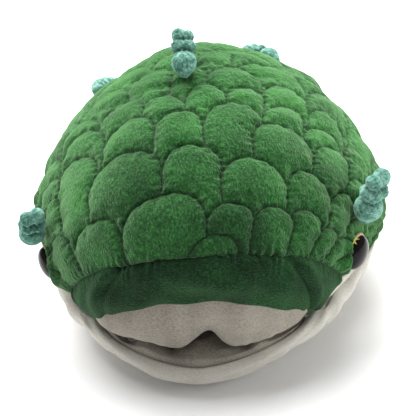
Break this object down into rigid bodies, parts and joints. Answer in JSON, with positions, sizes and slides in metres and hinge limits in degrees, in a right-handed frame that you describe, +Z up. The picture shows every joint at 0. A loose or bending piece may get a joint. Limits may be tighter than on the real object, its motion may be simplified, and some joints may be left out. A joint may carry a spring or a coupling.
{
  "type": "hand puppet",
  "caption": "Soft hand puppet: quilted dome head with crest horns and domed eyes, a fabric mouth with a movable jaw, a limp neck and a lined sleeve for the hand.",
  "frame": {"origin": "on the table under the centre of the whole puppet's bounding box", "axes": "-Y is the front, where the mouth is; +X is the puppet's left side; +Z is up; the puppet lies on its belly and sleeve"},
  "size_m": [0.1934, 0.2856, 0.1604],
  "materials": {
    "green_plush": "short green pile, quilted",
    "dark_green_plush": "short dark green pile",
    "cream_cloth": "short cream pile",
    "mouth_cloth": "grey-cream short pile",
    "lining_cloth": "plain woven lining",
    "teal_plush": "brushed teal pile",
    "fibre_filling": "loose white fibre",
    "eye_black": "polished black",
    "eye_tan": "satin tan",
    "washer_white": "moulded",
    "board": "thin flexible sheet"
  },
  "bodies": {
    "sleeve": {"sleeve_top_cover": "green_plush", "sleeve_under_cover": "cream_cloth", "sleeve_lining": "lining_cloth", "cuff_hem": "cream_cloth"},
    "neck": {"neck_lining": "lining_cloth"},
    "head": {"head_cover": "green_plush", "snout_band": "dark_green_plush", "throat_cover": "cream_cloth", "dome_filling": "fibre_filling", "hand_lining": "lining_cloth", "palate_lining": "mouth_cloth", "upper_mouth_board": "board", "finger_pocket": "lining_cloth", "eye_left": "eye_black", "eye_rim_left": "eye_tan", "eye_washer_left": "washer_white", "eye_right": "eye_black", "eye_rim_right": "eye_tan", "eye_washer_right": "washer_white", "crest_horn_top": "teal_plush", "crest_horn_rear_left": "teal_plush", "crest_horn_rear_right": "teal_plush", "crest_horn_side_left": "teal_plush", "crest_horn_side_right": "teal_plush"},
    "jaw": {"jaw_cover": "cream_cloth", "jaw_lining": "mouth_cloth", "lower_mouth_board": "board", "thumb_pocket": "lining_cloth", "lip_roll": "fibre_filling"}
  },
  "joints": [
    {"name": "neck_turn", "type": "hinge", "parent": "sleeve", "child": "neck", "pos_m": [0, 0.05632, 0.043], "axis": [0, 0, 1], "range_deg": [-18, 18]},
    {"name": "neck_nod", "type": "hinge", "parent": "neck", "child": "head", "pos_m": [0, 0.05632, 0.043], "axis": [1, 0, 0], "range_deg": [-15, 12]},
    {"name": "jaw_open", "type": "hinge", "parent": "head", "child": "jaw", "pos_m": [0, -0.10568, 0.026], "axis": [1, 0, 0], "range_deg": [-4, 25]}
  ]
}
